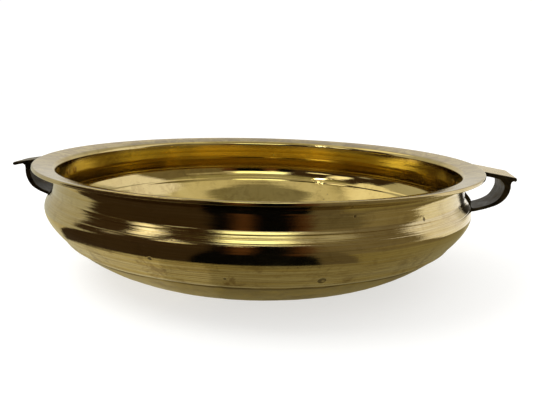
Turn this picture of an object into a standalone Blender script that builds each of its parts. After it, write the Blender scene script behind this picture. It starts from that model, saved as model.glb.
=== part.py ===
"""Brass urli: a wide shallow cast bowl with two D-shaped handles riveted under its lip.

Metres, +Z up. The origin is at the middle of the flat base, and the handles lie along X.
"""
from collections import namedtuple
from math import atan2, cos, degrees, pi, radians, sin, tan

import bmesh
import bpy
from mathutils import Vector

# Driving dimensions
RIM_RADIUS = 0.203          # outer edge of the lip
HEIGHT = 0.1005             # table to the top of the lip
WALL = 0.0031               # cast wall, which is also the thickness of the lip
BASE_RADIUS = 0.062         # the flat that the bowl rests on
HANDLE_SPAN = 0.470         # tip to tip of the two tongues
HANDLE_WIDTH = 0.031
GAP = 0.0003                # clearance between touching pieces

# Outline of the bowl, as (radius, height)
LIP_SLOPE = 11.0            # degrees by which the lip rises towards its edge
LIP_CENTRE = Vector((RIM_RADIUS - WALL / 2, HEIGHT - WALL / 2))     # of its round edge
NECK_TOP = Vector((0.1866, 0.0880))
CREASE = Vector((0.1873, 0.0802))
RIDGE = Vector((0.1765, 0.0361))
COVE_START = 0.0072         # how far out under the lip the cove below it begins
COVE_PULL = 0.0040          # how far the cove follows the lip and the neck
FLARE_ANGLE = radians(35.0)     # belly just under the crease, from vertical
UNDERCUT_ANGLE = radians(43.5)  # belly just above the ridge, from vertical
BOTTOM_ANGLE = radians(48.1)    # bottom just below the ridge, from vertical
FLARE_PULL = 0.0120             # how far each curve follows those directions
UNDERCUT_PULL = 0.0379
BOTTOM_PULL = 0.0370
BASE_PULL = 0.0591
INNER_TURN = 0.0046         # radius between the lip and the inner neck
TURN_STEPS = 72             # facets around the bowl

# Handles. Cast by hand, so the two differ a little.
# reach: outer face of the strap, from the bowl's axis
# step: how far the tongue's top lies below the lip's top
# droop: slope of the tongue; tilt: how far its -Y edge is turned down
Handle = namedtuple("Handle", "side azimuth reach step thickness droop tilt")
HANDLES = (
    Handle("right", 0.0, 0.2300, 0.0014, 0.0040, radians(9.3), radians(4.5)),
    Handle("left", pi, 0.2229, 0.0033, 0.0033, radians(9.2), 0.0),
)
FOOT_TOP_THICKNESS = 0.0019     # foot against the neck
FOOT_THICKNESS = 0.0027         # foot at the crease
EDGE_ROUNDING = 0.0008

# Rivets
SHANK_RADIUS = 0.0016
HEAD_RADIUS = 0.0037
HEAD_HEIGHT = 0.0017
TAIL_RADIUS = 0.0033
TAIL_HEIGHT = 0.0006
RIVET_SPREAD = radians(2.45)    # each side of the handle's middle
RIVET_SIDES = 16

parts = None
cutters = None


def start_scene():
    """Empty the file and make the two collections."""
    global parts, cutters
    for old in list(bpy.data.objects):
        bpy.data.objects.remove(old, do_unlink=True)
    parts = bpy.data.collections.new("urli_bowl")
    cutters = bpy.data.collections.new("cutters")
    for collection in (parts, cutters):
        bpy.context.scene.collection.children.link(collection)


def metal(name, colour, roughness):
    """A Principled metal."""
    material = bpy.data.materials.new(name)
    material.use_nodes = True
    shader = material.node_tree.nodes["Principled BSDF"]
    shader.inputs["Base Color"].default_value = (*colour, 1)
    shader.inputs["Roughness"].default_value = roughness
    shader.inputs["Metallic"].default_value = 1
    return material


def as_cutter(obj):
    """Put an object among the cutters, which are not part of the model."""
    cutters.objects.link(obj)
    obj.hide_render = True
    obj.display_type = "WIRE"


def curve_points(start, start_pull, end_pull, end, count):
    """Points along a cubic curve, without its first point."""
    points = []
    for i in range(1, count + 1):
        t = i / count
        u = 1 - t
        points.append(u**3 * start + 3 * u * u * t * (start + start_pull)
                      + 3 * u * t * t * (end + end_pull) + t**3 * end)
    return points


def arc_points(centre, radius, first, last, count):
    """Points along an arc, from angle first to angle last in degrees."""
    points = []
    for i in range(count + 1):
        angle = radians(first + (last - first) * i / count)
        points.append(centre + radius * Vector((cos(angle), sin(angle))))
    return points


def offset(points, distance):
    """Move an open outline sideways: to the left of its direction where distance is positive."""
    moved = []
    for i, point in enumerate(points):
        before = points[max(i - 1, 0)]
        after = points[min(i + 1, len(points) - 1)]
        ahead = (after - point).normalized() if after != point else (point - before).normalized()
        behind = (point - before).normalized() if before != point else ahead
        normal_a = Vector((-ahead.y, ahead.x))
        normal_b = Vector((-behind.y, behind.x))
        mitre = (normal_a + normal_b).normalized()
        moved.append(point + mitre * distance / mitre.dot(normal_a))
    return moved


def lip_face(radius, side):
    """A point on the lip's top (side 1) or underside (side -1), level with a radius."""
    slope = radians(LIP_SLOPE)
    edge = LIP_CENTRE + side * WALL / 2 * Vector((-sin(slope), cos(slope)))
    return Vector((radius, edge.y - (edge.x - radius) * tan(slope)))


def body_outline():
    """Outer wall from the cove under the lip down to the edge of the base."""
    below_lip = lip_face(NECK_TOP.x + COVE_START, -1)
    points = [below_lip]
    points += curve_points(below_lip, COVE_PULL * (below_lip - LIP_CENTRE).normalized(),
                           COVE_PULL * (NECK_TOP - CREASE).normalized(), NECK_TOP, 3)
    points.append((NECK_TOP + CREASE) / 2)
    points.append(CREASE)
    flare = FLARE_PULL * Vector((sin(FLARE_ANGLE), -cos(FLARE_ANGLE)))
    undercut = UNDERCUT_PULL * Vector((sin(UNDERCUT_ANGLE), cos(UNDERCUT_ANGLE)))
    points += curve_points(CREASE, flare, undercut, RIDGE, 9)
    bottom = BOTTOM_PULL * Vector((-sin(BOTTOM_ANGLE), -cos(BOTTOM_ANGLE)))
    base_edge = Vector((BASE_RADIUS, 0))
    points += curve_points(RIDGE, bottom, Vector((BASE_PULL, 0)), base_edge, 8)
    return points


def lip_edge():
    """The rounded outer edge of the lip, from its top to its underside."""
    half = WALL / 2
    return (arc_points(LIP_CENTRE, half, 90 + LIP_SLOPE, 90, 1)
            + arc_points(LIP_CENTRE, half, 90, 0, 2)[1:]
            + arc_points(LIP_CENTRE, half, 0, LIP_SLOPE - 90, 2)[1:])


def inner_turn(neck_end):
    """The round turn from the inner neck, which ends at a point, out to the lip's top."""
    slope = radians(LIP_SLOPE)
    lean = atan2(CREASE.x - NECK_TOP.x, NECK_TOP.y - CREASE.y)
    up_neck = Vector((-sin(lean), cos(lean)))
    along_lip = Vector((cos(slope), sin(slope)))
    start = neck_end + INNER_TURN * Vector((cos(lean), sin(lean)))
    under_lip = lip_face(NECK_TOP.x, 1) - INNER_TURN * Vector((-sin(slope), cos(slope)))
    climb = (under_lip - start).cross(along_lip) / up_neck.cross(along_lip)
    return arc_points(start + climb * up_neck, INNER_TURN, 180 + degrees(lean), 90 + LIP_SLOPE, 5)


def turned(name, outline, steps, collection=None):
    """Turn an outline of (radius, height) points about Z. The outline runs down its outer side."""
    mesh = bpy.data.meshes.new(name)
    shape = bmesh.new()
    corners = [shape.verts.new((point.x, 0, point.y)) for point in outline]
    for a, b in zip(corners, corners[1:]):
        shape.edges.new((a, b))
    shape.to_mesh(mesh)
    shape.free()
    obj = bpy.data.objects.new(name, mesh)
    if collection:
        collection.objects.link(obj)
    screw = obj.modifiers.new("Turn", "SCREW")
    screw.steps = steps
    screw.render_steps = steps
    screw.use_merge_vertices = True
    screw.merge_threshold = 0.00001
    screw.use_smooth_shade = True
    return obj


def make_bowl(brass):
    """The cast bowl with its lip, one closed turned shape."""
    outside = body_outline()
    inner_wall = offset(outside[3:], -WALL)
    inner_wall.reverse()
    outline = [Vector((0, WALL))] + inner_wall[:-1] + inner_turn(inner_wall[-1])
    outline += lip_edge() + outside + [Vector((0, 0))]
    bowl = turned("bowl", outline, TURN_STEPS, parts)
    bowl.data.materials.append(brass)
    return bowl


def make_envelope():
    """The bowl filled in and grown by the clearance, to shape what fits against it."""
    skin = [Vector((0, HEIGHT))] + lip_edge()[1:] + body_outline() + [Vector((0, 0))]
    envelope = turned("bowl_envelope", offset(skin, GAP), TURN_STEPS)
    for vertex in (envelope.data.vertices[0], envelope.data.vertices[-1]):
        vertex.co.x = 0
    as_cutter(envelope)
    return envelope


def foot_outline():
    """Outer face of the foot, which lies against the neck, from the tongue down."""
    neck_normal = (CREASE - NECK_TOP).orthogonal().normalized()
    if neck_normal.x < 0:
        neck_normal.negate()
    flare_normal = Vector((cos(FLARE_ANGLE), sin(FLARE_ANGLE)))
    crease_normal = (neck_normal + flare_normal).normalized()
    return [NECK_TOP + FOOT_TOP_THICKNESS * neck_normal,
            CREASE + FOOT_THICKNESS * crease_normal]


def tongue_height(handle, distance):
    """Height of the tongue's top at a distance from the bowl's axis."""
    return HEIGHT - handle.step - max(distance - RIM_RADIUS, 0) * tan(handle.droop)


def strap_points(reach, shape):
    """Place (across, height) points: across runs from 0 at the foot to 1 at the strap's reach."""
    foot = 0.1900
    return [(foot + across * (reach - foot), height, "AUTO") for across, height in shape]


def outer_outline(handle):
    """Side view of a handle, going round by the tongue, the strap and inside the bowl."""
    tip = HANDLE_SPAN / 2
    nose = 0.0010
    inside = 0.1790
    under = handle.thickness
    tip_top = tongue_height(handle, tip - nose)
    outline = [(inside, tongue_height(handle, inside), "VECTOR"),
               (RIM_RADIUS, tongue_height(handle, RIM_RADIUS), "VECTOR"),
               (tip - nose, tip_top, "VECTOR"),
               (tip, tip_top - nose, "VECTOR"),
               (tip, tip_top - under + nose, "VECTOR"),
               (tip - nose, tip_top - under, "VECTOR"),
               (handle.reach + 0.0013, tongue_height(handle, handle.reach) - under, "VECTOR")]
    outline += strap_points(handle.reach, [(1.000, 0.0876), (1.002, 0.0832), (0.975, 0.0780),
                                           (0.890, 0.0720), (0.748, 0.0674), (0.528, 0.0635),
                                           (0.308, 0.0605)])
    return outline + [(0.1900, 0.0585, "VECTOR"), (inside, 0.0600, "VECTOR")]


def gap_outline(handle):
    """The finger gap, going up the foot, under the tongue and down inside the strap."""
    foot_top, foot_crease = foot_outline()
    corner = 0.0015
    under = handle.thickness
    inner_end = handle.reach - 0.0080
    outline = [(foot_crease.x, foot_crease.y, "VECTOR"),
               (foot_top.x, foot_top.y - corner, "VECTOR"),
               (foot_top.x + corner, tongue_height(handle, 0) - under, "VECTOR"),
               (RIM_RADIUS, tongue_height(handle, RIM_RADIUS) - under, "VECTOR"),
               (inner_end, tongue_height(handle, inner_end) - under, "VECTOR")]
    outline += strap_points(handle.reach, [(0.825, 0.0883), (0.859, 0.0843), (0.856, 0.0814),
                                           (0.820, 0.0774), (0.749, 0.0725), (0.646, 0.0692),
                                           (0.530, 0.0668), (0.370, 0.0646), (0.225, 0.0634)])
    return outline + [(0.1966, 0.0652, "AUTO"), (0.1958, 0.0715, "AUTO")]


def flat_plate(name, outlines, width, rounding):
    """A flat shape with holes, cut from 2D outlines and given a width, as one welded mesh."""
    curve = bpy.data.curves.new(name, "CURVE")
    curve.dimensions = "2D"
    curve.fill_mode = "BOTH"
    curve.resolution_u = 2
    curve.bevel_depth = rounding
    curve.bevel_resolution = 1
    curve.offset = -rounding
    curve.extrude = width / 2 - rounding
    for outline in outlines:
        spline = curve.splines.new("BEZIER")
        spline.bezier_points.add(len(outline) - 1)
        for point, (x, y, kind) in zip(spline.bezier_points, outline):
            point.co = (x, y, 0)
            point.handle_left_type = kind
            point.handle_right_type = kind
        spline.use_cyclic_u = True
    drawn = bpy.data.objects.new(name + "_curve", curve)
    bpy.context.scene.collection.objects.link(drawn)
    bpy.context.view_layer.update()
    evaluated = drawn.evaluated_get(bpy.context.evaluated_depsgraph_get())
    mesh = bpy.data.meshes.new_from_object(evaluated)
    bpy.data.objects.remove(drawn)
    shape = bmesh.new()
    shape.from_mesh(mesh)
    bmesh.ops.remove_doubles(shape, verts=shape.verts, dist=0.00001)
    bmesh.ops.recalc_face_normals(shape, faces=shape.faces)
    shape.to_mesh(mesh)
    shape.free()
    mesh.name = name
    return mesh


def cut(obj, cutter):
    """Take a cutter out of an object."""
    boolean = obj.modifiers.new("Cut " + cutter.name, "BOOLEAN")
    boolean.operation = "DIFFERENCE"
    boolean.solver = "EXACT"
    boolean.object = cutter


def tilt_tongue(mesh, slope):
    """Turn the tongue about its own length, fading out down the strap."""
    fade_start = 0.078
    fade_end = 0.090
    for vertex in mesh.vertices:
        share = min(max((vertex.co.y - fade_start) / (fade_end - fade_start), 0), 1)
        vertex.co.y -= slope * vertex.co.z * share * share * (3 - 2 * share)


def make_handle(handle, patina):
    """A cast handle: tongue, strap and foot in one D-shaped piece."""
    name = "handle_" + handle.side
    outlines = (outer_outline(handle), gap_outline(handle))
    mesh = flat_plate(name, outlines, HANDLE_WIDTH, EDGE_ROUNDING)
    tilt_tongue(mesh, tan(handle.tilt))
    mesh.materials.append(patina)
    obj = bpy.data.objects.new(name, mesh)
    obj.rotation_euler = (pi / 2, 0, handle.azimuth)
    parts.objects.link(obj)
    return obj


def rivet_axis():
    """Where a rivet crosses the neck, and its tilt from horizontal, as (point, angle)."""
    along = CREASE - NECK_TOP
    return (NECK_TOP + CREASE) / 2, atan2(along.x, -along.y)


def on_neck(obj, azimuth):
    """Stand a shape built along Z at the rivet's place on the neck."""
    point, tilt = rivet_axis()
    obj.rotation_euler = (0, pi / 2 - tilt, azimuth)
    obj.location = (point.x * cos(azimuth), point.x * sin(azimuth), point.y)


def rivet_outline():
    """Head, shank and hammered tail. Height 0 is the outer face of the neck."""
    under_head = FOOT_THICKNESS + GAP
    over_tail = -WALL - GAP
    dome_radius = (HEAD_RADIUS**2 + HEAD_HEIGHT**2) / (2 * HEAD_HEIGHT)
    dome_centre = Vector((0, under_head + HEAD_HEIGHT - dome_radius))
    rim_angle = 90 - atan2(HEAD_RADIUS, dome_radius - HEAD_HEIGHT) * 180 / pi
    outline = arc_points(dome_centre, dome_radius, 90, rim_angle, 3)
    outline[0].x = 0
    outline += [Vector((SHANK_RADIUS, under_head)), Vector((SHANK_RADIUS, over_tail)),
                Vector((TAIL_RADIUS, over_tail)),
                Vector((TAIL_RADIUS * 0.8, over_tail - TAIL_HEIGHT)),
                Vector((0, over_tail - TAIL_HEIGHT))]
    return outline


def make_rivet(name, azimuth, patina):
    """One rivet, through the foot of a handle and the neck."""
    rivet = turned(name, rivet_outline(), RIVET_SIDES, parts)
    rivet.data.materials.append(patina)
    on_neck(rivet, azimuth)


def make_drill(name, azimuth):
    """Cutter for a rivet's hole, the clearance wider than its shank."""
    depth = 0.014
    radius = SHANK_RADIUS + GAP
    outline = [Vector((0, depth)), Vector((radius, depth)),
               Vector((radius, -depth)), Vector((0, -depth))]
    drill = turned(name, outline, RIVET_SIDES)
    on_neck(drill, azimuth)
    as_cutter(drill)
    return drill


def main():
    start_scene()
    brass = metal("polished_brass", (0.72, 0.53, 0.20), 0.16)
    bowl = make_bowl(brass)
    envelope = make_envelope()
    for handle in HANDLES:
        patina = metal(handle.side + "_handle_patina", (0.075, 0.060, 0.040), 0.42)
        bracket = make_handle(handle, patina)
        cut(bracket, envelope)
        for place, turn in (("near", -1), ("far", 1)):
            label = handle.side + "_" + place
            azimuth = handle.azimuth + turn * cos(handle.azimuth) * RIVET_SPREAD
            rivet_metal = metal(label + "_rivet_patina", (0.13, 0.09, 0.05), 0.38)
            make_rivet("rivet_" + label, azimuth, rivet_metal)
            drill = make_drill("hole_" + label, azimuth)
            cut(bracket, drill)
            cut(bowl, drill)


main()
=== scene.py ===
"""Looks of a brass urli: a turned bowl, two cast handles and their rivets, on a pale floor.

Metres, +Z up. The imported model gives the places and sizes, and everything rides on its one body.
"""

from math import atan2, cos, degrees, pi, radians, sin, tan

import bmesh
import bpy
import numpy as np
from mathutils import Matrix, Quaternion, Vector


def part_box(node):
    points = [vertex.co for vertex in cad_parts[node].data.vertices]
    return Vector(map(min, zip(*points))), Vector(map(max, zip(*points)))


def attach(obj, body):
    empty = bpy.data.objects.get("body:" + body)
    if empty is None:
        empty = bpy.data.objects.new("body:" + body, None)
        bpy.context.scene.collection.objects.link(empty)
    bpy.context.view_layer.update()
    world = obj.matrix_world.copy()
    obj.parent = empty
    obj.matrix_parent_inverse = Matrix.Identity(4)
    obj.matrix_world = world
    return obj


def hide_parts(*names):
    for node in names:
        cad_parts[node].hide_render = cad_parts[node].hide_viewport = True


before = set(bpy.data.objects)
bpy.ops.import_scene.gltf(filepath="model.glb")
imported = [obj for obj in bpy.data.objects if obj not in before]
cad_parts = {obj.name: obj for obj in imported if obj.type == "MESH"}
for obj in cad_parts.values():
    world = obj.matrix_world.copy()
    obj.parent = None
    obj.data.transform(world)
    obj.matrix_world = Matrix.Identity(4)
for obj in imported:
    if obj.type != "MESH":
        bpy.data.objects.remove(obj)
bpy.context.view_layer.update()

# Sizes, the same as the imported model's
RIM_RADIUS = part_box("bowl")[1].x
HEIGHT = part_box("bowl")[1].z
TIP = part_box("handle_right")[1].x
HANDLE_WIDTH = 0.031
WALL = 0.0031
BASE_RADIUS = 0.062
GAP = 0.0003
LIP_SLOPE = radians(11.0)
NECK_TOP = np.array((0.1866, 0.0880))
CREASE = np.array((0.1873, 0.0780))
RIDGE = np.array((0.1765, 0.0361))
COVE_START = 0.0072
COVE_PULL = 0.0040
FLARE_ANGLE = radians(31.0)
UNDERCUT_ANGLE = radians(43.5)
BOTTOM_ANGLE = radians(48.1)
INNER_TURN = 0.0046
FOOT_TOP_THICKNESS = 0.0019
FOOT_THICKNESS = 0.0027
RIVET_SPREAD = radians(2.45)

# Fine surface
SEGMENTS = 512              # round the bowl
FINE_STEP = 0.0001          # along an outline before it is thinned
LIP_CROWN = 0.00014         # how far the middle of the lip's top stands up
LIP_TOP_CORNER = 0.0012     # roundings of the lip's edge
LIP_LOW_CORNER = 0.0009
ALONG_LIP = np.array((cos(LIP_SLOPE), sin(LIP_SLOPE)))
UP_FROM_LIP = np.array((-sin(LIP_SLOPE), cos(LIP_SLOPE)))
SEED = 41


# ---------------------------------------------------------------- outlines

def bezier(a, b, c, d, step=FINE_STEP):
    """Points of a cubic curve about one step apart, without the first."""
    length = np.linalg.norm(b - a) + np.linalg.norm(c - b) + np.linalg.norm(d - c)
    t = np.linspace(0, 1, max(int(length / step), 3))[1:, None]
    u = 1 - t
    return u**3 * a + 3 * u * u * t * b + 3 * u * t * t * c + t**3 * d


def line(a, b, step=FINE_STEP):
    """Points of a straight line about one step apart, without the first."""
    t = np.linspace(0, 1, max(int(np.linalg.norm(b - a) / step), 2))[1:, None]
    return a + (b - a) * t


def arc(centre, radius, first, last, step=FINE_STEP):
    """Points of an arc between two angles in degrees, without the first."""
    count = max(int(abs(radians(last - first)) * radius / step), 6)
    angle = np.radians(np.linspace(first, last, count + 1)[1:])
    return np.asarray(centre) + radius * np.column_stack((np.cos(angle), np.sin(angle)))


def normals(points):
    """Unit normals on the left of an open outline's direction."""
    along = np.gradient(points, axis=0)
    along /= np.linalg.norm(along, axis=1)[:, None]
    return np.column_stack((-along[:, 1], along[:, 0]))


def soften(points, width):
    """Round an outline's corners over about this width, keeping its ends."""
    reach = int(3 * width / FINE_STEP)
    kernel = np.exp(-0.5 * (np.arange(-reach, reach + 1) * FINE_STEP / width) ** 2)
    kernel /= kernel.sum()
    before = 2 * points[0] - points[reach:0:-1]
    after = 2 * points[-1] - points[-2:-reach - 2:-1]
    padded = np.vstack((before, points, after))
    return np.column_stack([np.convolve(padded[:, i], kernel, "valid") for i in (0, 1)])


def thinned(points, turn=0.6, longest=0.0016):
    """Leave out points where the outline hardly turns."""
    kept = [0]
    heading = None
    for i in range(1, len(points) - 1):
        ahead = points[i + 1] - points[i]
        angle = atan2(ahead[1], ahead[0])
        if heading is None:
            heading = angle
        bend = abs((angle - heading + pi) % (2 * pi) - pi)
        if bend > radians(turn) or np.linalg.norm(points[i] - points[kept[-1]]) > longest:
            kept.append(i)
            heading = angle
    kept.append(len(points) - 1)
    return points[kept]


def waves(rng, place, wavelengths, amplitude, count):
    """A sum of sines along a line, with random wavelengths between two limits."""
    low, high = wavelengths
    total = np.zeros(len(place))
    for _ in range(count):
        wavelength = low * (high / low) ** rng.random()
        size = amplitude * wavelength / high
        total += size * np.sin(2 * pi * place / wavelength + rng.uniform(0, 2 * pi))
    return total


def bump(height, centre, half_width):
    """A smooth bump of height 1 across a band of heights."""
    across = np.clip((height - centre) / half_width, -1, 1)
    return 0.5 + 0.5 * np.cos(pi * across)


def smooth_step(value, low, high):
    share = np.clip((value - low) / (high - low), 0, 1)
    return share * share * (3 - 2 * share)


def lip_corners():
    """Centres of the two roundings of the lip's edge, upper and lower."""
    down = (LIP_TOP_CORNER - LIP_LOW_CORNER) * ALONG_LIP
    down = down - (WALL - LIP_TOP_CORNER - LIP_LOW_CORNER) * UP_FROM_LIP
    upper = np.array((RIM_RADIUS - LIP_LOW_CORNER - down[0], HEIGHT - LIP_TOP_CORNER))
    return upper, upper + down


def lip_edge():
    """The lip's edge from its top round to its underside."""
    upper, lower = lip_corners()
    slope = degrees(LIP_SLOPE)
    shoulder = arc(upper, LIP_TOP_CORNER, 90 + slope, slope)
    hem = arc(lower, LIP_LOW_CORNER, slope, slope - 90)
    return np.vstack((upper + LIP_TOP_CORNER * UP_FROM_LIP, shoulder, line(shoulder[-1], hem[0])[:-1], hem))


def below_lip():
    """Where the lip's underside meets the cove."""
    hem_end = lip_edge()[-1]
    across = NECK_TOP[0] + COVE_START - hem_end[0]
    return hem_end + across * np.array((1.0, tan(LIP_SLOPE)))


def outer_wall():
    """The body's outside from the cove under the lip to the base's edge, without its fine marks."""
    start = below_lip()
    flare = 0.0120 * np.array((sin(FLARE_ANGLE), -cos(FLARE_ANGLE)))
    undercut = 0.0379 * np.array((sin(UNDERCUT_ANGLE), cos(UNDERCUT_ANGLE)))
    bottom = 0.0370 * np.array((-sin(BOTTOM_ANGLE), -cos(BOTTOM_ANGLE)))
    base_edge = np.array((BASE_RADIUS, 0))
    up_neck = (NECK_TOP - CREASE) / np.linalg.norm(NECK_TOP - CREASE)
    cove = bezier(start, start - COVE_PULL * ALONG_LIP, NECK_TOP + COVE_PULL * up_neck, NECK_TOP)
    neck = line(NECK_TOP, CREASE)
    belly = bezier(CREASE, CREASE + flare, RIDGE + undercut, RIDGE)
    under = bezier(RIDGE, RIDGE + bottom, base_edge + (0.0591, 0), base_edge)
    return np.vstack((start, cove, neck, belly, under))


def marked(points, relief):
    """Move an outline out along its normals."""
    return points + normals(points) * relief[:, None]


def outside():
    """The outside with its incised lines, bead and turning marks."""
    wall = soften(outer_wall(), 0.0007)
    place = np.arange(len(wall)) * FINE_STEP
    height = wall[:, 1]
    rng = np.random.default_rng(SEED)
    relief = np.zeros(len(wall))
    for centre, depth in ((0.0757, 0.00006), (0.0703, 0.00012)):
        relief -= depth * bump(height, centre, 0.00045)
    relief += 0.00060 * bump(height, 0.0372, 0.0030)
    relief -= 0.00050 * bump(height, 0.0336, 0.0009)
    turned_part = smooth_step(height, 0.034, 0.036) * smooth_step(HEIGHT - height, 0.004, 0.008)
    relief += turned_part * waves(rng, place, (0.0012, 0.007), 0.000006, 26)
    return marked(wall, relief)


def inside():
    """The inside from the middle of its floor up to the neck, with two turned steps."""
    wall = soften(outer_wall(), 0.0007)
    below_cove = wall[wall[:, 1] < NECK_TOP[1] - 0.0002]
    wall = below_cove - normals(below_cove) * WALL
    wall = wall[::-1]
    floor = line(np.array((0.0, WALL)), wall[0])
    wall = soften(np.vstack((floor, wall)), 0.0009)
    place = np.arange(len(wall)) * FINE_STEP
    height = wall[:, 1]
    rng = np.random.default_rng(SEED + 1)
    relief = 0.00030 * bump(height, 0.0650, 0.0016) + 0.00026 * bump(height, 0.0505, 0.0016)
    relief += waves(rng, place, (0.0015, 0.010), 0.000008, 26) * smooth_step(place, 0.003, 0.01)
    wall = marked(wall, relief)
    wall[0, 0] = 0
    return wall


def lip():
    """From the end of the inner neck over the lip to the cove under it."""
    end = inside()[-1]
    edge = lip_edge()
    lean = atan2(CREASE[0] - NECK_TOP[0], NECK_TOP[1] - CREASE[1])
    up_neck = np.array((-sin(lean), cos(lean)))
    turn_foot = end + INNER_TURN * np.array((cos(lean), sin(lean)))
    under_top = edge[0] - INNER_TURN * UP_FROM_LIP - turn_foot
    climb = np.cross(under_top, ALONG_LIP) / np.cross(up_neck, ALONG_LIP)
    turn_centre = turn_foot + climb * up_neck
    turn = arc(turn_centre, INNER_TURN, 180 + degrees(lean), 90 + degrees(LIP_SLOPE))
    top = line(turn[-1], edge[0])
    across = np.linspace(0, 1, len(top))[:, None]
    top = top + LIP_CROWN * np.sin(pi * across) * UP_FROM_LIP
    underside = line(edge[-1], below_lip())
    outline = np.vstack((line(end, end + climb * up_neck), turn, top, edge[1:], underside))
    return soften(outline, 0.0002)


def bowl_outline():
    """The whole outline, from the middle of the inside over the lip to the middle of the base."""
    base = outside()
    foot = line(base[-1], np.array((0.0, 0.0)), 0.004)
    fine = thinned(np.vstack((inside(), lip(), base[1:])))
    return np.vstack((fine, foot))


# ---------------------------------------------------------------- meshes

def new_object(name, mesh, material):
    """Add a mesh to the scene as a named piece with one material."""
    obj = bpy.data.objects.new(name, mesh)
    bpy.context.scene.collection.objects.link(obj)
    mesh.materials.clear()
    mesh.materials.append(material)
    return obj


def revolve(name, outline, segments):
    """Turn an outline of (radius, height) that starts and ends on the axis into a closed mesh."""
    rings = outline[1:-1]
    angle = np.arange(segments) * 2 * pi / segments
    ring_radius = rings[:, :1]
    vertices = np.empty((len(rings), segments, 3))
    vertices[:, :, 0] = ring_radius * np.cos(angle)
    vertices[:, :, 1] = ring_radius * np.sin(angle)
    vertices[:, :, 2] = rings[:, 1:]
    count = len(rings) * segments
    points = np.vstack((vertices.reshape(-1, 3), (0, 0, outline[0][1]), (0, 0, outline[-1][1])))
    here = np.arange(segments)
    after = (here + 1) % segments
    row = (np.arange(len(rings) - 1) * segments)[:, None]
    quads = np.stack((row + here, row + segments + here, row + segments + after, row + after), -1)
    last = (len(rings) - 1) * segments
    first_cap = np.column_stack((np.full(segments, count), here, after))
    last_cap = np.column_stack((last + here, np.full(segments, count + 1), last + after))
    faces = quads.reshape(-1, 4).tolist() + first_cap.tolist() + last_cap.tolist()
    mesh = bpy.data.meshes.new(name)
    mesh.from_pydata(points.tolist(), [], faces)
    mesh.shade_smooth()
    return mesh


def vertex_array(mesh):
    points = np.empty(len(mesh.vertices) * 3, np.float32)
    mesh.vertices.foreach_get("co", points)
    return points.reshape(-1, 3).astype(float)


def set_vertices(mesh, points):
    mesh.vertices.foreach_set("co", points.astype(np.float32).ravel())
    mesh.update()


def vertex_normals(mesh):
    found = np.empty(len(mesh.vertices) * 3, np.float32)
    mesh.vertices.foreach_get("normal", found)
    return found.reshape(-1, 3).astype(float)


def ripples(rng, points, wavelengths, amplitude, count):
    """A rough field of plane waves in random directions, one value a point."""
    low, high = wavelengths
    total = np.zeros(len(points))
    for _ in range(count):
        wavelength = low * (high / low) ** rng.random()
        direction = rng.normal(size=3)
        direction /= np.linalg.norm(direction)
        phase = rng.uniform(0, 2 * pi)
        total += wavelength / high * np.sin(points @ direction * 2 * pi / wavelength + phase)
    return amplitude * total / np.sqrt(count)


def make_bowl(brass):
    """The bowl: finely turned inside and out, with a rougher cast bottom below its bead."""
    mesh = revolve("urli_body", bowl_outline(), SEGMENTS)
    points = vertex_array(mesh)
    normal = vertex_normals(mesh)
    rng = np.random.default_rng(SEED + 2)
    radius = np.hypot(points[:, 0], points[:, 1])
    outer = (normal[:, 2] < 0.1) & (normal[:, 0] * points[:, 0] + normal[:, 1] * points[:, 1] > 0)
    clear_of_edges = smooth_step(RIM_RADIUS - radius, 0.004, 0.012)
    clear_of_edges *= smooth_step(points[:, 2], 0.001, 0.006)
    relief = ripples(rng, points, (0.03, 0.09), 0.00007, 24) * clear_of_edges
    cast = outer * smooth_step(0.0345 - points[:, 2], 0.0, 0.004) * smooth_step(radius, 0.066, 0.08)
    relief += ripples(rng, points, (0.006, 0.022), 0.00011, 60) * cast
    set_vertices(mesh, points + normal * relief[:, None])
    bowl = new_object("urli_body", mesh, brass)
    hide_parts("bowl")
    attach(bowl, "root")
    return bowl


# ---------------------------------------------------------------- handles

def through(points, step=0.0003):
    """A smooth curve through points, as a Catmull-Rom spline."""
    points = np.asarray(points, float)
    ends = np.vstack((2 * points[0] - points[1], points, 2 * points[-1] - points[-2]))
    curve = [points[:1]]
    for a, b, c, d in zip(ends, ends[1:], ends[2:], ends[3:]):
        curve.append(bezier(b, b + (c - a) / 6, c - (d - b) / 6, c, step))
    return np.vstack(curve)


def tongue_top(shape, distance):
    return HEIGHT - shape["step"] - max(distance - RIM_RADIUS, 0) * tan(shape["droop"])


def strap_points(shape, points):
    """Place (across, height) points: across runs from 0 at the foot to 1 at the strap's reach."""
    foot = 0.1900
    return [(foot + across * (shape["reach"] - foot), height) for across, height in points]


def bowl_side(shape):
    """The handle's side next to the bowl: up the belly and neck, under the lip and over its edge."""
    clear = GAP * 0.6
    bottom = 0.0600
    edge = lip_edge()
    skin = soften(np.vstack((edge, line(edge[-1], below_lip()), outer_wall()[1:])), 0.0003)
    skin = (skin + normals(skin) * clear)[::-1]
    top = tongue_top(shape, RIM_RADIUS)
    return skin[(skin[:, 1] > bottom) & (skin[:, 1] < top)]


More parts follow.
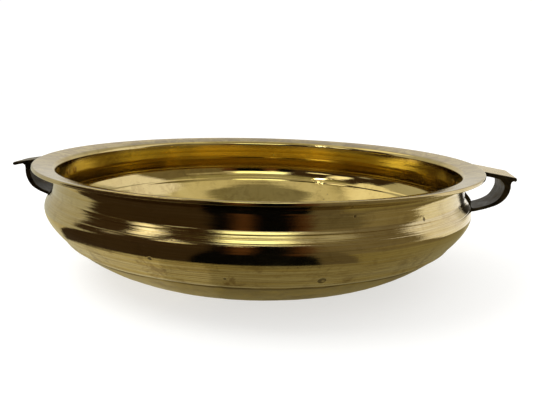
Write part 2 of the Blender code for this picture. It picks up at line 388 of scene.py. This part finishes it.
def handle_outlines(shape):
    """Side view of a handle as (outer outline, finger gap)."""
    nose = 0.0010
    under = shape["thickness"]
    reach = shape["reach"]
    tip_top = tongue_top(shape, TIP - nose)
    side = bowl_side(shape)
    root = np.array((side[-1][0], tongue_top(shape, RIM_RADIUS)))
    nose_centre = (TIP - under / 2, tip_top - under / 2 - 0.0001)
    strap = strap_points(shape, [(1.000, 0.0876), (1.002, 0.0832), (0.975, 0.0780),
                                 (0.890, 0.0720), (0.748, 0.0674), (0.528, 0.0635),
                                 (0.308, 0.0608)]) + [(0.1958, 0.0596)]
    under_tongue = (reach + 0.0022, tongue_top(shape, reach) - under - 0.0001)
    fillet = [under_tongue, (reach + 0.0006, tongue_top(shape, reach) - under - 0.0012)] + strap
    outer = np.vstack((side, root, line(root, np.array((TIP - under / 2, tip_top)), 0.0005),
                       arc(nose_centre, under / 2, 85, -85, 0.0002), through(fillet, 0.0005)))
    foot = foot_line()
    corner = 0.0015
    inner_end = reach - 0.0085
    below = [(foot[0][0] + corner, tongue_top(shape, 0) - under),
             (RIM_RADIUS, tongue_top(shape, RIM_RADIUS) - under),
             (inner_end - 0.002, tongue_top(shape, inner_end) - under)]
    inner = strap_points(shape, [(0.838, 0.0883), (0.859, 0.0843), (0.856, 0.0814),
                                 (0.820, 0.0774), (0.749, 0.0725), (0.646, 0.0692),
                                 (0.530, 0.0668), (0.370, 0.0646), (0.225, 0.0634)])
    lower = through(inner + [(0.1966, 0.0652), (0.1958, 0.0715), tuple(foot[1])], 0.0005)
    gap = np.vstack((foot[1], (foot[0][0], foot[0][1] - corner), below, lower[:-1]))
    return outer, gap


def foot_line():
    """The foot's outer face at the top of the neck and at the crease."""
    along = CREASE - NECK_TOP
    neck_normal = np.array((-along[1], along[0])) / np.linalg.norm(along)
    flare_normal = np.array((cos(FLARE_ANGLE), sin(FLARE_ANGLE)))
    crease_normal = (neck_normal + flare_normal) / np.linalg.norm(neck_normal + flare_normal)
    return NECK_TOP + FOOT_TOP_THICKNESS * neck_normal, CREASE + FOOT_THICKNESS * crease_normal


def evaluated_mesh(obj):
    """A copy of an object's mesh as its modifiers leave it. The object is removed."""
    bpy.context.view_layer.update()
    evaluated = obj.evaluated_get(bpy.context.evaluated_depsgraph_get())
    mesh = bpy.data.meshes.new_from_object(evaluated)
    bpy.data.objects.remove(obj)
    return mesh


def plate(name, outlines, width):
    """A flat shape with a hole, given a width."""
    curve = bpy.data.curves.new(name, "CURVE")
    curve.dimensions = "2D"
    curve.fill_mode = "BOTH"
    curve.extrude = width / 2
    for outline in outlines:
        spline = curve.splines.new("POLY")
        spline.points.add(len(outline) - 1)
        for point, (x, y) in zip(spline.points, outline):
            point.co = (x, y, 0, 1)
        spline.use_cyclic_u = True
    obj = bpy.data.objects.new(name, curve)
    bpy.context.scene.collection.objects.link(obj)
    mesh = evaluated_mesh(obj)
    shape = bmesh.new()
    shape.from_mesh(mesh)
    bmesh.ops.remove_doubles(shape, verts=shape.verts, dist=0.000005)
    bmesh.ops.recalc_face_normals(shape, faces=shape.faces)
    shape.to_mesh(mesh)
    shape.free()
    return mesh


def refined(mesh, voxel, smoothing):
    """Remesh a closed solid evenly and soften it a little."""
    obj = bpy.data.objects.new("refining", mesh)
    bpy.context.scene.collection.objects.link(obj)
    remesh = obj.modifiers.new("Even", "REMESH")
    remesh.mode = "VOXEL"
    remesh.voxel_size = voxel
    soft = obj.modifiers.new("Soft", "SMOOTH")
    soft.factor = 0.5
    soft.iterations = smoothing
    return evaluated_mesh(obj)


def make_handle(node, azimuth, shape, patina):
    """A cast handle: its foot follows the neck round, and its skin is slightly uneven."""
    name = "cast_" + node
    mesh = plate(name, handle_outlines(shape), HANDLE_WIDTH)
    mesh = refined(mesh, 0.00045, 8)
    points = vertex_array(mesh)
    x, height, across = points.T
    share = smooth_step(height, 0.078, 0.090)
    height = height - tan(shape["tilt"]) * across * share
    near_bowl = 1 - smooth_step(x, 0.205, 0.217)
    x = x - near_bowl * (x - np.sqrt(x * x - across * across))
    points = np.column_stack((x * cos(azimuth) + across * sin(azimuth),
                              x * sin(azimuth) - across * cos(azimuth), height))
    set_vertices(mesh, points)
    rng = np.random.default_rng(SEED + 5 + int(azimuth))
    away = smooth_step(np.hypot(points[:, 0], points[:, 1]), 0.198, 0.203)
    relief = ripples(rng, points, (0.003, 0.014), 0.00007, 50) - 0.00006
    set_vertices(mesh, points + vertex_normals(mesh) * (relief * away)[:, None])
    mesh.shade_smooth()
    handle = new_object(name, mesh, patina)
    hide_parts(node)
    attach(handle, "root")
    return handle


def make_rivet(node, azimuth, patina):
    """A rivet with a hammered head outside the foot and a flattened tail inside the neck."""
    foot = FOOT_THICKNESS + GAP
    inner = -WALL - GAP
    head = 0.0037
    dome = 0.0017
    tail = 0.0033
    rise = 0.0006
    shank = 0.0016
    step = 0.0003
    top = np.array((0.0, foot + dome))
    outline = np.vstack((top,
                         bezier(top, top + (head * 0.55, 0), np.array((head, foot + dome * 0.62)),
                                np.array((head, foot)), step),
                         line(np.array((head, foot)), np.array((shank, foot)), step),
                         line(np.array((shank, foot)), np.array((shank, inner)), 0.0012),
                         line(np.array((shank, inner)), np.array((tail, inner)), step),
                         bezier(np.array((tail, inner)), np.array((tail, inner - rise * 0.7)),
                                np.array((tail * 0.8, inner - rise)), np.array((0.0, inner - rise)), step)))
    mesh = revolve("hammered_" + node, outline, 40)
    points = vertex_array(mesh)
    rng = np.random.default_rng(SEED + int(1000 * (azimuth + 4)))
    points += vertex_normals(mesh) * (ripples(rng, points, (0.0015, 0.005), 0.00009, 24) - 0.0001)[:, None]
    set_vertices(mesh, points)
    rivet = new_object("hammered_" + node, mesh, patina)
    along = CREASE - NECK_TOP
    middle = (CREASE + NECK_TOP) / 2
    tilt = atan2(along[0], -along[1])
    rivet.rotation_euler = (0, pi / 2 - tilt, azimuth)
    rivet.location = (middle[0] * cos(azimuth), middle[0] * sin(azimuth), middle[1])
    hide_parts(node)
    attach(rivet, "root")
    return rivet


# ---------------------------------------------------------------- materials

class Graph:
    """Short calls that add shader nodes to a material and link them."""

    def __init__(self, name):
        self.material = bpy.data.materials.new(name)
        self.material.use_nodes = True
        self.tree = self.material.node_tree
        self.shader = self.tree.nodes["Principled BSDF"]
        coordinates = self.tree.nodes.new("ShaderNodeTexCoord")
        self.place = coordinates.outputs["Object"]
        self.split = self.add("ShaderNodeSeparateXYZ", {"Vector": self.place})
        self.x, self.y, self.z = self.split.outputs

    def add(self, kind, inputs, **settings):
        node = self.tree.nodes.new(kind)
        for key, value in settings.items():
            setattr(node, key, value)
        for key, value in inputs.items():
            self.give(node.inputs[key], value)
        return node

    def give(self, socket, value):
        if isinstance(value, bpy.types.NodeSocket):
            self.tree.links.new(value, socket)
        elif hasattr(socket.default_value, "__len__") and len(value) == 3 and len(socket.default_value) == 4:
            socket.default_value = (*value, 1)
        else:
            socket.default_value = value

    def math(self, operation, a, b=0.5, clamp=False):
        node = self.add("ShaderNodeMath", {0: a, 1: b}, operation=operation, use_clamp=clamp)
        return node.outputs[0]

    def noise(self, scale, detail=3.0, roughness=0.5, place=None, w=None, distortion=0.0):
        inputs = {"Vector": place or self.place, "Scale": scale, "Detail": detail,
                  "Roughness": roughness, "Distortion": distortion}
        if w is None:
            return self.add("ShaderNodeTexNoise", inputs).outputs["Fac"]
        node = self.add("ShaderNodeTexNoise", {}, noise_dimensions="4D")
        for key, value in {**inputs, "W": w}.items():
            self.give(node.inputs[key], value)
        return node.outputs["Fac"]

    def cells(self, scale, feature="F1", place=None, randomness=1.0):
        inputs = {"Vector": place or self.place, "Scale": scale, "Randomness": randomness}
        return self.add("ShaderNodeTexVoronoi", inputs, feature=feature).outputs["Distance"]

    def span(self, value, low, high, to_low=0.0, to_high=1.0):
        """Map a value smoothly from one range to another, clamped."""
        node = self.add("ShaderNodeMapRange", {0: value, 1: low, 2: high, 3: to_low, 4: to_high},
                        interpolation_type="SMOOTHSTEP")
        return node.outputs[0]

    def blend(self, factor, a, b):
        """Mix two colours."""
        node = self.tree.nodes.new("ShaderNodeMix")
        node.data_type = "RGBA"
        sockets = [s for s in node.inputs if s.enabled]
        for socket, value in zip(sockets, (factor, a, b)):
            self.give(socket, value)
        return [s for s in node.outputs if s.enabled][0]

    def scaled(self, value, factor):
        return self.math("MULTIPLY", value, factor)

    def sum(self, *values):
        total = values[0]
        for value in values[1:]:
            total = self.math("ADD", total, value)
        return total

    def spot(self, place, radius, blur=0.0004):
        """One round mark at a place on the surface."""
        node = self.add("ShaderNodeVectorMath", {0: self.place, 1: place}, operation="DISTANCE")
        apart = node.outputs["Value"]
        return self.span(apart, radius - blur, radius + blur, 1.0, 0.0)

    def either(self, *values):
        """The largest of some values."""
        total = values[0]
        for value in values[1:]:
            total = self.math("MAXIMUM", total, value)
        return total

    def relief(self, height, distance, normal=None):
        inputs = {"Height": height, "Distance": distance, "Strength": 1.0}
        if normal:
            inputs["Normal"] = normal
        return self.add("ShaderNodeBump", inputs).outputs["Normal"]

    def ring_place(self, around):
        """Coordinates whose noise runs in rings round Z: (cos, sin) times around, and the radius."""
        radius = self.math("SQRT", self.sum(self.math("MULTIPLY", self.x, self.x),
                                            self.math("MULTIPLY", self.y, self.y)))
        safe = self.math("MAXIMUM", radius, 0.001)
        cosine = self.scaled(self.math("DIVIDE", self.x, safe), around)
        sine = self.scaled(self.math("DIVIDE", self.y, safe), around)
        place = self.add("ShaderNodeCombineXYZ", {0: cosine, 1: sine, 2: radius}).outputs[0]
        return place, radius

    def finish(self, colour, roughness, normal, metallic=1.0):
        self.give(self.shader.inputs["Base Color"], colour)
        self.give(self.shader.inputs["Roughness"], roughness)
        self.give(self.shader.inputs["Normal"], normal)
        self.give(self.shader.inputs["Metallic"], metallic)
        return self.material


def brass_material():
    """Polished brass: turning lines, haze and small stains, with a dull cast bottom, painted shade along the
    groove at that bottom's edge and a partly painted glow on the inner wall.
    """
    g = Graph("polished_brass")
    ring, radius = g.ring_place(0.0012)
    geometry = g.add("ShaderNodeNewGeometry", {})
    facing = g.add("ShaderNodeSeparateXYZ", {"Vector": geometry.outputs["Normal"]})
    normal_x, normal_y, normal_z = facing.outputs
    # Where the bottom is left as cast, outside and below the bead
    edge_wander = g.span(g.noise(22.0, 4.0), 0.3, 0.7, -0.0012, 0.0012)
    low = g.span(g.math("ADD", g.z, edge_wander), 0.0335, 0.0350, 1.0, 0.0)
    facing_down = g.span(normal_z, -0.30, -0.12, 1.0, 0.0)
    cast = g.math("MULTIPLY", low, facing_down)
    lower_belly = g.math("MULTIPLY", g.span(g.z, 0.044, 0.062, 1.0, 0.0),
                         g.span(normal_z, -0.2, 0.15, 1.0, 0.0))
    # Turning lines and haze
    lines = g.noise(1500.0, 2.0, 0.6, ring, g.scaled(g.z, 1500.0))
    bands = g.noise(260.0, 2.0, 0.5, ring, g.scaled(g.z, 260.0))
    haze = g.noise(14.0, 5.0, 0.62, distortion=0.6)
    cloud = g.noise(38.0, 5.0, 0.65, distortion=0.4)
    blotch = g.noise(75.0, 6.0, 0.7, distortion=0.8)
    gold = g.blend(g.span(haze, 0.35, 0.68), (0.60, 0.475, 0.205), (0.53, 0.405, 0.155))
    gold = g.blend(g.scaled(g.span(cloud, 0.52, 0.74), 0.35), gold, (0.46, 0.36, 0.16))
    outward = g.sum(g.math("MULTIPLY", g.x, normal_x), g.math("MULTIPLY", g.y, normal_y))
    inner_wall = g.math("MULTIPLY", g.span(outward, -0.08, -0.03, 1.0, 0.0), g.span(g.z, 0.062, 0.073))
    inner_wall = g.math("MULTIPLY", inner_wall, g.span(g.z, 0.0885, 0.0925, 1.0, 0.0))
    outer_wall = g.span(outward, 0.02, 0.05)
    # The inner wall's brighter, yellower base is partly cleaner metal and partly a painted glow standing in
    # for light bounced round the inside; it fades out below the lip's inner turn.
    painted_inner_glow = g.blend(g.span(haze, 0.35, 0.68), (1.0, 0.79, 0.17), (0.95, 0.73, 0.13))
    gold = g.blend(inner_wall, gold, painted_inner_glow)
    streaks = g.noise(80.0, 6.0, 0.70, g.ring_place(0.055)[0], g.scaled(g.z, 80.0), 0.6)
    drifts = g.noise(34.0, 5.0, 0.66, g.ring_place(0.06)[0], g.scaled(g.z, 34.0), 0.5)
    worn = g.math("MULTIPLY", outer_wall, g.sum(0.40, g.scaled(lower_belly, 0.60)))
    paler = g.math("MULTIPLY", worn, g.span(drifts, 0.42, 0.60, 0.0, 0.80))
    gold = g.blend(paler, gold, (0.70, 0.62, 0.42))
    browner = g.math("MULTIPLY", worn, g.span(streaks, 0.46, 0.58, 0.0, 0.95))
    gold = g.blend(browner, gold, (0.25, 0.160, 0.055))
    stained = g.math("MULTIPLY", g.span(blotch, 0.46, 0.60), g.span(cloud, 0.43, 0.58))
    stain_depth = g.sum(0.22, g.scaled(lower_belly, 0.50))
    gold = g.blend(g.math("MULTIPLY", stained, stain_depth), gold, (0.22, 0.135, 0.04))
    level = g.span(normal_z, 0.90, 0.96)
    lip_top = g.math("MULTIPLY", level, g.span(g.z, 0.088, 0.091))
    dull_lip = g.math("MULTIPLY", lip_top, g.span(blotch, 0.38, 0.58, 0.0, 0.75))
    gold = g.blend(dull_lip, gold, (0.36, 0.26, 0.12))
    pits = g.span(g.cells(85.0), 0.035, 0.075, 1.0, 0.0)
    few = g.span(g.noise(19.0, 2.0), 0.60, 0.66)
    pits = g.math("MULTIPLY", pits, few)
    # A hooked mark and five small flaws in front
    hook = g.math("SUBTRACT", g.spot((0.0575, -0.1725, 0.0405), 0.0033),
                  g.spot((0.0585, -0.1725, 0.0394), 0.0022))
    marks = g.either(g.spot((0.1682, -0.0836, 0.0772), 0.0021), g.spot((0.1300, -0.1350, 0.0783), 0.0013),
                     g.spot((0.0775, -0.1700, 0.0865), 0.0010), g.spot((-0.0080, -0.1830, 0.0425), 0.0013),
                     g.spot((-0.0590, -0.1820, 0.0550), 0.0014), hook)
    pits = g.either(pits, marks)
    # Painted shade: a dark line along the groove where the cast bottom begins.
    groove_shade = g.math("ABSOLUTE", g.sum(g.z, edge_wander, -0.0336))
    groove_shade = g.math("MULTIPLY", outer_wall, g.span(groove_shade, 0.0004, 0.0014, 0.75, 0.0))
    gold = g.blend(g.scaled(pits, 0.75), gold, (0.10, 0.07, 0.03))
    skin = g.blend(g.span(blotch, 0.36, 0.66), (0.30, 0.225, 0.085), (0.46, 0.36, 0.15))
    skin = g.blend(g.scaled(g.span(cloud, 0.50, 0.66), 0.6), skin, (0.18, 0.115, 0.045))
    colour = g.blend(groove_shade, g.blend(cast, gold, skin), (0.13, 0.09, 0.04))
    polish = g.sum(0.045, g.scaled(inner_wall, 0.10), g.span(haze, 0.45, 0.75, 0.0, 0.05),
                   g.span(cloud, 0.52, 0.74, 0.0, 0.06), g.scaled(pits, 0.3), g.scaled(lower_belly, 0.12),
                   g.scaled(g.span(bands, 0.35, 0.7), 0.02))
    roughness = g.sum(g.math("MULTIPLY", polish, g.math("SUBTRACT", 1.0, cast)),
                      g.math("MULTIPLY", cast, g.span(blotch, 0.3, 0.7, 0.30, 0.46)))
    bump_lines = g.relief(lines, 0.0000065)
    bump_bands = g.relief(bands, 0.000011, bump_lines)
    grain = g.math("MULTIPLY", g.noise(420.0, 4.0, 0.65), cast)
    bump_cast = g.relief(grain, 0.00016, bump_bands)
    bump_pits = g.relief(g.scaled(pits, -1.0), 0.00012, bump_cast)
    return g.finish(colour, roughness, bump_pits)


def patina_material(name, worn_top, dressed_tail=False):
    """Dark cast brass whose edges and, by a share, whose tongue's top are rubbed bright.

    A rivet's tail is dressed with the inside of the bowl, so it stays bright.
    """
    g = Graph(name)
    geometry = g.add("ShaderNodeNewGeometry", {})
    normal_z = g.add("ShaderNodeSeparateXYZ", {"Vector": geometry.outputs["Normal"]}).outputs[2]
    grime = g.noise(95.0, 5.0, 0.65, distortion=0.5)
    mottle = g.noise(320.0, 4.0, 0.6)
    dark = g.blend(g.span(grime, 0.36, 0.66), (0.020, 0.017, 0.013), (0.066, 0.050, 0.030))
    dark = g.blend(g.scaled(g.span(mottle, 0.50, 0.72), 0.4), dark, (0.11, 0.085, 0.05))
    edge = g.span(g.sum(geometry.outputs["Pointiness"], g.span(grime, 0.3, 0.7, -0.02, 0.02)), 0.52, 0.60)
    colour = g.blend(g.scaled(edge, 0.55), dark, (0.34, 0.25, 0.12))
    top = g.math("MULTIPLY", g.span(normal_z, 0.82, 0.95), g.span(g.z, 0.0855, 0.0885))
    top = g.math("MULTIPLY", top, g.span(g.sum(grime, g.scaled(mottle, 0.3)), 0.42, 0.56, 0.86, 1.0))
    top = g.scaled(top, worn_top)
    colour = g.blend(top, colour, (0.80, 0.66, 0.40))
    roughness = g.sum(g.span(grime, 0.3, 0.7, 0.34, 0.52), g.scaled(edge, -0.08), g.scaled(top, -0.14))
    if dressed_tail:
        tail = g.span(g.z, -0.0032, -0.0026, 1.0, 0.0)
        colour = g.blend(tail, colour, (0.64, 0.42, 0.09))
        roughness = g.sum(roughness, g.scaled(tail, -0.28))
    bump_grime = g.relief(grime, 0.0003)
    bump_mottle = g.relief(mottle, 0.00007, bump_grime)
    return g.finish(colour, roughness, bump_mottle)


# ---------------------------------------------------------------- stage, lights and camera

def make_floor():
    """A plain pale table."""
    bpy.ops.mesh.primitive_plane_add(size=8)
    floor = bpy.context.object
    floor.name = "floor"
    g = Graph("pale_table")
    colour = g.blend(g.noise(3.0, 3.0), (0.42, 0.42, 0.417), (0.44, 0.44, 0.437))
    g.finish(colour, 0.75, g.relief(g.noise(300.0), 0.00002), 0.0)
    g.shader.inputs["Emission Color"].default_value = (1.0, 1.0, 0.995, 1)
    g.shader.inputs["Emission Strength"].default_value = 0.63
    floor.data.materials.append(g.material)


def glow(name, colour, strength):
    """A plain emitting material."""
    material = bpy.data.materials.new(name)
    material.use_nodes = True
    tree = material.node_tree
    tree.nodes.clear()
    emission = tree.nodes.new("ShaderNodeEmission")
    emission.inputs["Color"].default_value = (*colour, 1)
    emission.inputs["Strength"].default_value = strength
    output = tree.nodes.new("ShaderNodeOutputMaterial")
    tree.links.new(emission.outputs[0], output.inputs[0])
    return material


def only_reflected(obj):
    """Show an object in reflections alone."""
    obj.visible_camera = False
    obj.visible_diffuse = False
    obj.visible_shadow = False
    obj.visible_transmission = False
    obj.visible_volume_scatter = False


def card(name, azimuths, elevations, distance, colour, strength):
    """A patch of a sphere round the bowl, seen only in reflections.

    Azimuth 0 is in front of the bowl and grows to the right, in degrees.
    """
    columns = max(int(abs(azimuths[1] - azimuths[0]) / 6), 2)
    rows = max(int(abs(elevations[1] - elevations[0]) / 6), 2)
    around = np.radians(np.linspace(*azimuths, columns + 1))
    up = np.radians(np.linspace(*elevations, rows + 1))
    mesh = bpy.data.meshes.new(name)
    points = [(distance * sin(a) * cos(e), -distance * cos(a) * cos(e), distance * sin(e) + 0.07)
              for e in up for a in around]
    wide = columns + 1
    faces = [(j * wide + i, j * wide + i + 1, (j + 1) * wide + i + 1, (j + 1) * wide + i)
             for j in range(rows) for i in range(columns)]
    mesh.from_pydata(points, [], faces)
    obj = new_object(name, mesh, glow(name, colour, strength))
    only_reflected(obj)
    return obj


def ring_card(name, azimuths, radii, height, colour, strength):
    """A flat piece of a ring round the bowl, just above the table, seen only in reflections."""
    columns = max(int(abs(azimuths[1] - azimuths[0]) / 3), 2)
    around = np.radians(np.linspace(*azimuths, columns + 1))
    points = [(r * sin(a), -r * cos(a), height) for r in radii for a in around]
    wide = columns + 1
    faces = [(i, i + 1, wide + i + 1, wide + i) for i in range(columns)]
    mesh = bpy.data.meshes.new(name)
    mesh.from_pydata(points, [], faces)
    only_reflected(new_object(name, mesh, glow(name, colour, strength)))


def make_surroundings():
    """A dark room in front with ceiling lights, and pale screens at the sides and behind."""
    near = (0.001, 0.36)
    front = (0.207, 0.5)
    beyond = (0.5, 5.0)
    ring_card("table_near_left", (-145, -24), near, 0.0004, (1.0, 0.90, 0.54), 0.64)
    ring_card("table_near_middle", (-24, -9), near, 0.0004, (1.0, 0.88, 0.48), 0.44)
    ring_card("table_near_right", (-9, 105), near, 0.0004, (1.0, 0.87, 0.43), 0.31)
    ring_card("table_near_back", (105, 215), near, 0.0004, (1.0, 0.88, 0.50), 0.46)
    ring_card("table_left", (-180, -79), (0.36, 5.0), 0.0004, (1.05, 1.03, 0.84), 0.56)
    ring_card("front_left", (-79, -15), front, 0.0008, (0.80, 0.50, 0.26), 0.060)
    ring_card("front_middle", (-15, 22), front, 0.0008, (0.50, 0.50, 0.55), 0.005)
    ring_card("front_right", (22, 34), front, 0.0008, (0.95, 0.78, 0.48), 0.16)
    ring_card("front_far_right", (34, 84), (0.30, 0.5), 0.0008, (0.95, 0.80, 0.48), 0.25)
    ring_card("beyond_left", (-79, -17), beyond, 0.0008, (0.80, 0.50, 0.26), 0.060)
    ring_card("beyond_middle", (-17, 28), beyond, 0.0008, (0.50, 0.50, 0.55), 0.005)
    ring_card("beyond_right", (28, 52), beyond, 0.0008, (0.95, 0.80, 0.48), 0.18)
    ring_card("beyond_far_right", (52, 84), beyond, 0.0008, (0.95, 0.81, 0.48), 0.32)
    card("room_middle", (-18, 31), (-4, 35), 3.0, (0.50, 0.55, 0.70), 0.005)
    card("room_left", (-96, -18), (-4, 60), 3.0, (0.80, 0.50, 0.28), 0.07)
    card("room_right", (31, 91), (-4, 60), 3.0, (0.95, 0.80, 0.52), 0.24)
    card("ceiling_edge", (-96, 91), (51, 61), 2.9, (1.0, 0.95, 0.62), 0.42)
    card("ceiling", (-180, 180), (60, 73), 3.3, (1.0, 0.96, 0.75), 0.85)
    card("ceiling_middle", (-180, 180), (73, 90), 3.3, (1.0, 0.94, 0.66), 0.30)
    card("backdrop", (128, 262), (24, 60), 3.2, (1.0, 1.0, 1.0), 0.58)
    card("backdrop_low", (128, 262), (-4, 24), 3.2, (1.0, 0.97, 0.88), 0.75)
    card("upper_left", (-150, -84), (40, 60), 2.9, (1.0, 0.96, 0.80), 1.3)
    card("left_screen", (-150, -96), (-4, 60), 3.1, (1.08, 1.06, 0.92), 0.56)
    card("right_screen", (91, 128), (-4, 60), 3.1, (1.0, 1.0, 1.1), 1.15)
    card("column_left", (-8, 1), (-8, 33), 2.9, (1.0, 0.42, 0.16), 0.14)
    card("column_right", (22, 31), (-8, 34), 2.9, (1.0, 0.42, 0.16), 0.12)
    ring_card("column_foot_left", (-6, 1), (0.36, 5.0), 0.0012, (1.0, 0.42, 0.16), 0.10)
    ring_card("column_foot_right", (15, 22), (0.33, 0.5), 0.0012, (1.0, 0.42, 0.16), 0.09)
    ring_card("column_far_foot_right", (21, 28), (0.5, 5.0), 0.0012, (1.0, 0.42, 0.16), 0.09)
    card("ceiling_light", (-16, 24), (39, 47.5), 2.8, (0.92, 1.0, 0.72), 3.2)
    card("ceiling_light_end", (24, 62), (40, 48), 2.8, (1.0, 0.95, 0.75), 0.55)
    card("window_left", (-66, -52), (28, 46), 2.8, (1.0, 0.98, 0.90), 1.9)
    card("lamp_left", (-46, -31), (24, 27), 2.8, (1.0, 0.97, 0.85), 3.0)
    card("far_lamp_left", (-76, -68), (14, 18), 2.8, (1.0, 0.97, 0.9), 0.8)
    card("small_lamp", (-9, -3), (28, 31), 2.8, (1.0, 0.92, 0.7), 2.4)
    card("bright_lamp", (-54, -50), (52, 55), 2.7, (1.0, 1.0, 0.95), 40.0)


def make_world():
    """White surroundings."""
    world = bpy.data.worlds.new("studio")
    bpy.context.scene.world = world
    world.use_nodes = True
    background = world.node_tree.nodes["Background"]
    background.inputs["Color"].default_value = (1.0, 0.995, 0.985, 1)
    background.inputs["Strength"].default_value = 1.03


def area_light(name, place, size, power, colour=(1, 1, 1)):
    """A soft light aimed at the bowl."""
    data = bpy.data.lights.new(name, "AREA")
    data.shape = "DISK"
    data.size = size
    data.energy = power
    data.color = colour
    obj = bpy.data.objects.new(name, data)
    bpy.context.scene.collection.objects.link(obj)
    obj.location = place
    obj.rotation_mode = "QUATERNION"
    obj.rotation_quaternion = (Vector((0, 0, 0.05)) - obj.location).to_track_quat("-Z", "Y")
    obj.visible_glossy = False
    return obj


def make_camera():
    """The main view: a little above the lip, from the front left of the right handle."""
    place = Vector((0.04274, -0.56184, 0.17528))
    aim = Vector((0.00719, 0.00055, 0.06074))
    roll = radians(1.367)
    data = bpy.data.cameras.new("camera")
    data.sensor_width = 36
    data.lens = 40.31
    data.clip_start = 0.01
    camera = bpy.data.objects.new("camera", data)
    bpy.context.scene.collection.objects.link(camera)
    camera.location = place
    camera.rotation_mode = "QUATERNION"
    level = (aim - place).to_track_quat("-Z", "Y")
    camera.rotation_quaternion = level @ Quaternion((0, 0, 1), roll)
    bpy.context.scene.camera = camera


# ---------------------------------------------------------------- the whole scene

RIGHT = {"reach": 0.2300, "step": 0.0014, "thickness": 0.0040, "droop": radians(9.3), "tilt": radians(4.5)}
LEFT = {"reach": 0.2229, "step": 0.0033, "thickness": 0.0033, "droop": radians(9.2), "tilt": 0.0}

make_bowl(brass_material())
for side, azimuth, shape, worn_top in (("right", 0.0, RIGHT, 1.0), ("left", pi, LEFT, 0.15)):
    patina = patina_material(side + "_handle_patina", worn_top)
    make_handle("handle_" + side, azimuth, shape, patina)
    for place, turn in (("near", -1), ("far", 1)):
        rivet_azimuth = azimuth + turn * cos(azimuth) * RIVET_SPREAD
        rivet_patina = patina_material(side + "_" + place + "_rivet_patina", 0.0, True)
        make_rivet("rivet_" + side + "_" + place, rivet_azimuth, rivet_patina)

make_floor()
make_surroundings()
make_world()
area_light("key", (-0.9, -0.5, 1.5), 1.0, 14)
make_camera()
bpy.context.scene.view_settings.view_transform = "Standard"
